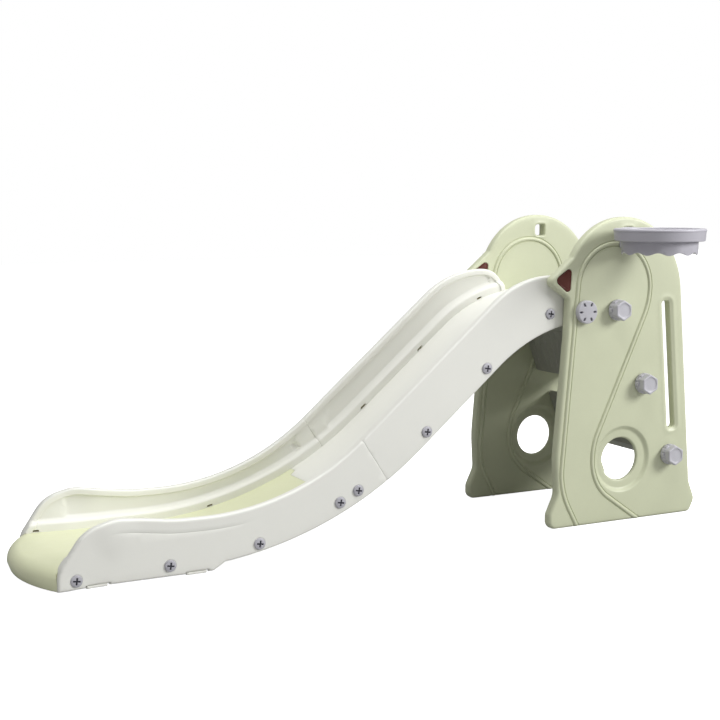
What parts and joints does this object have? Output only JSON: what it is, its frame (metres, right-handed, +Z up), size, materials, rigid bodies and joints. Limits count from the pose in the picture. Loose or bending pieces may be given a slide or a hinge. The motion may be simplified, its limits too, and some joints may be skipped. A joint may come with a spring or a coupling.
{
  "type": "straight slide",
  "caption": "Toddler's straight slide with bird-shaped side panels, bolted steps, a railed chute in two sections and a ball hoop that plugs into one panel.",
  "frame": {"origin": "on the floor, under the middle of the slide's box", "axes": "+X runs from the foot of the chute to the ladder, +Z up, -Y is the side that the hoop stands out from"},
  "size_m": [1.5775, 0.612, 0.7],
  "materials": {
    "panel_green": "fine moulded grain",
    "beak_brown": "smooth, satin",
    "step_grey": "fine moulded grain, ribbed",
    "cap_grey": "smooth moulded",
    "bed_green": "smooth moulded",
    "chute_white": "smooth, satin",
    "screw_grey": "smooth moulded",
    "hoop_grey": "smooth moulded",
    "foot_white": "plain"
  },
  "bodies": {
    "frame": {"side_panel_near": "panel_green", "side_panel_far": "panel_green", "beak_inset_near": "beak_brown", "beak_inset_far": "beak_brown", "step_top": "step_grey", "step_middle": "step_grey", "step_bottom": "step_grey", "step_bolts_near": "cap_grey", "step_bolts_far": "cap_grey", "slide_knob_near": "cap_grey", "slide_knob_far": "cap_grey", "lower_bed": "bed_green", "upper_bed": "chute_white", "lower_rail_near": "chute_white", "lower_rail_far": "chute_white", "upper_rail_near": "chute_white", "upper_rail_far": "chute_white", "rail_screws_near": "screw_grey", "rail_screws_far": "screw_grey", "rail_feet_near": "foot_white", "rail_feet_far": "foot_white"},
    "hoop": {"hoop_ring": "hoop_grey", "hoop_skirt": "hoop_grey", "hoop_bracket": "hoop_grey", "hoop_plug": "hoop_grey"}
  },
  "joints": [
    {"name": "hoop_pull", "type": "slide", "parent": "frame", "child": "hoop", "axis": [0, -1, 0], "range_m": [0, 0.05]}
  ]
}
